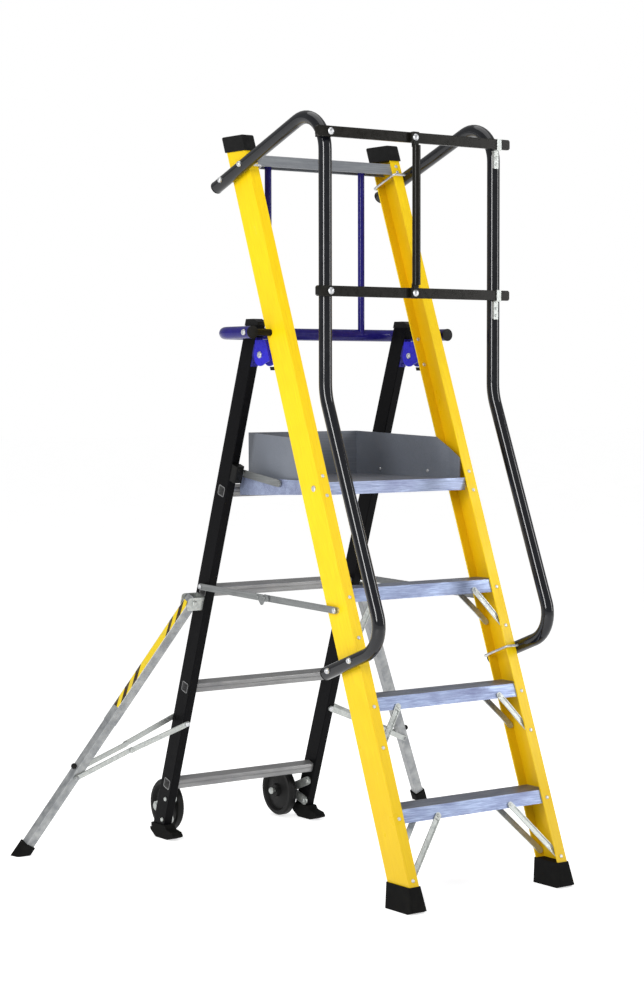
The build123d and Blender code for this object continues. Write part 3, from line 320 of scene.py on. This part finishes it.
for side, name in SIDES:
    tube = outrigger_finish(side, name)
    FINISHES.update({
        "stile_" + name: YELLOW, "front_foot_" + name: RUBBER, "rear_foot_" + name: RUBBER,
        "outrigger_foot_" + name: RUBBER, "guard_rail_" + name: RAIL_BLACK, "rear_leg_" + name: LEG_BLACK,
        "wheel_" + name: PLASTIC, "platform_link_" + name: STAY_GREY, "spreader_front_" + name: STAY_GREY,
        "spreader_rear_" + name: STAY_GREY, "outrigger_arm_" + name: tube, "outrigger_knob_" + name: PLASTIC,
        "outrigger_extension_" + name: RUNG, "stay_inner_" + name: GALVANISED, "stay_outer_" + name: GALVANISED,
    })


def dress(obj, finish):
    obj.data.materials.clear()
    obj.data.materials.append(finish)


for name, obj in NODES.items():
    dress(obj, FINISHES[name])


# ---- small fittings ----
def turned(name, profile, place, axis, body, finish, steps=32):
    """A turned piece: (distance along the axis, radius) points spun about the axis."""
    turn = Vector(axis).to_track_quat("Z", "Y").to_matrix()
    shape = bmesh.new()
    rings = []
    for along, radius in profile:
        angles = [2 * math.pi * k / steps for k in range(steps)]
        spots = [Vector((radius * math.cos(a), radius * math.sin(a), along)) for a in angles]
        rings.append([shape.verts.new(Vector(place) + turn @ spot) for spot in spots])
    for near, far in zip(rings, rings[1:]):
        for k in range(steps):
            j = (k + 1) % steps
            shape.faces.new((near[k], near[j], far[j], far[k]))
    shape.faces.new(reversed(rings[0]))
    shape.faces.new(rings[-1])
    mesh = bpy.data.meshes.new(name)
    shape.to_mesh(mesh)
    shape.free()
    mesh.polygons.foreach_set("use_smooth", [True] * len(mesh.polygons))
    mesh.materials.append(finish)
    obj = bpy.data.objects.new(name, mesh)
    bpy.context.scene.collection.objects.link(obj)
    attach(obj, body)


# domed cap of a gate pin: a thin flange, then the crown
PIN_CAP = [(0.0, 0.0088), (0.0012, 0.0088), (0.0015, 0.0080), (0.0034, 0.0072), (0.0048, 0.0052),
           (0.0054, 0.0026), (0.0056, 0.0008)]
rail_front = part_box("gate_rail_upper")[0].y
GATE_GAP = 0.0006         # between the rails and what stands in front of them
UPRIGHT_PLATE = 0.0086    # how far the flattened ends of the upright stand in front of the rails
for level, rail in (("upper", "gate_lift"), ("lower", "gate_lower_turn")):
    pivot = Vector(JOINTS[rail]["pos_m"])
    turned("gate_pin_cap_" + level, PIN_CAP, (pivot.x, rail_front - GATE_GAP, pivot.z), (0, -1, 0),
           "front_frame", ZINC)
    upright_x = JOINTS["gate_upright_turn"]["pos_m"][0]
    turned("upright_pin_cap_" + level, PIN_CAP, (upright_x, rail_front - UPRIGHT_PLATE, pivot.z), (0, -1, 0),
           "gate_upright", ZINC)

# ---- studio ----
LIGHT_LEVEL = 0.42    # what the white surround sheds on the object
FLOOR_GLOW = 0.72     # lifts the floor to the white of the surround
FLOOR_HALF = 40.0
CAMERA_LENS = 80.28
CAMERA_PLACE = (-3.5032, -4.7509, 1.2645)
CAMERA_TURN = (86.99, 0.1, -35.94)    # degrees

world = bpy.data.worlds.new("studio")
world.use_nodes = True
sky = world.node_tree
sky.nodes["Background"].inputs[0].default_value = (1.0, 1.0, 1.0, 1.0)
seen = sky.nodes.new("ShaderNodeLightPath").outputs["Is Camera Ray"]
level = sky.nodes.new("ShaderNodeMapRange")
level.inputs["To Min"].default_value = LIGHT_LEVEL
sky.links.new(seen, level.inputs["Value"])
sky.links.new(level.outputs["Result"], sky.nodes["Background"].inputs[1])
bpy.context.scene.world = world


def softbox(name, place, target, size, power):
    lamp = bpy.data.lights.new(name, "AREA")
    lamp.shape = "RECTANGLE"
    lamp.size, lamp.size_y = size
    lamp.energy = power
    obj = bpy.data.objects.new(name, lamp)
    obj.location = place
    aim = Vector(target) - Vector(place)
    obj.rotation_euler = aim.to_track_quat("-Z", "Y").to_euler()
    bpy.context.scene.collection.objects.link(obj)


softbox("key_box", (-4.2, -2.2, 2.6), (0, 0, 1.1), (1.0, 2.8), 150)
softbox("side_box", (3.4, -3.0, 2.0), (0, 0, 0.9), (0.8, 2.6), 60)
softbox("top_box", (0.0, 0.2, 4.5), (0, 0, 0), (3.0, 3.0), 45)


def floor():
    mesh = bpy.data.meshes.new("studio_floor")
    corners = [(x * FLOOR_HALF, y * FLOOR_HALF, 0) for x, y in ((-1, -1), (1, -1), (1, 1), (-1, 1))]
    mesh.from_pydata(corners, [], [(0, 1, 2, 3)])
    obj = bpy.data.objects.new("studio_floor", mesh)
    obj.location.z = cad_low.z - 0.0005
    bpy.context.scene.collection.objects.link(obj)
    g = Graph("studio_floor")
    colour = g.mix(g.spread(g.noise(3.0), 0.3, 0.7), (0.86, 0.86, 0.86), (0.88, 0.88, 0.88))
    g.link(colour, g.shader.inputs["Emission Color"])
    g.shader.inputs["Emission Strength"].default_value = FLOOR_GLOW
    mesh.materials.append(g.surface(colour, 0.8))


floor()

# ---- camera ----
lens = bpy.data.cameras.new("camera")
lens.lens = CAMERA_LENS
lens.sensor_width = 36.0
lens.clip_end = 100.0
camera = bpy.data.objects.new("camera", lens)
camera.location = CAMERA_PLACE
camera.rotation_euler = [math.radians(turn) for turn in CAMERA_TURN]
bpy.context.scene.collection.objects.link(camera)
bpy.context.scene.camera = camera
bpy.context.scene.view_settings.view_transform = "Standard"
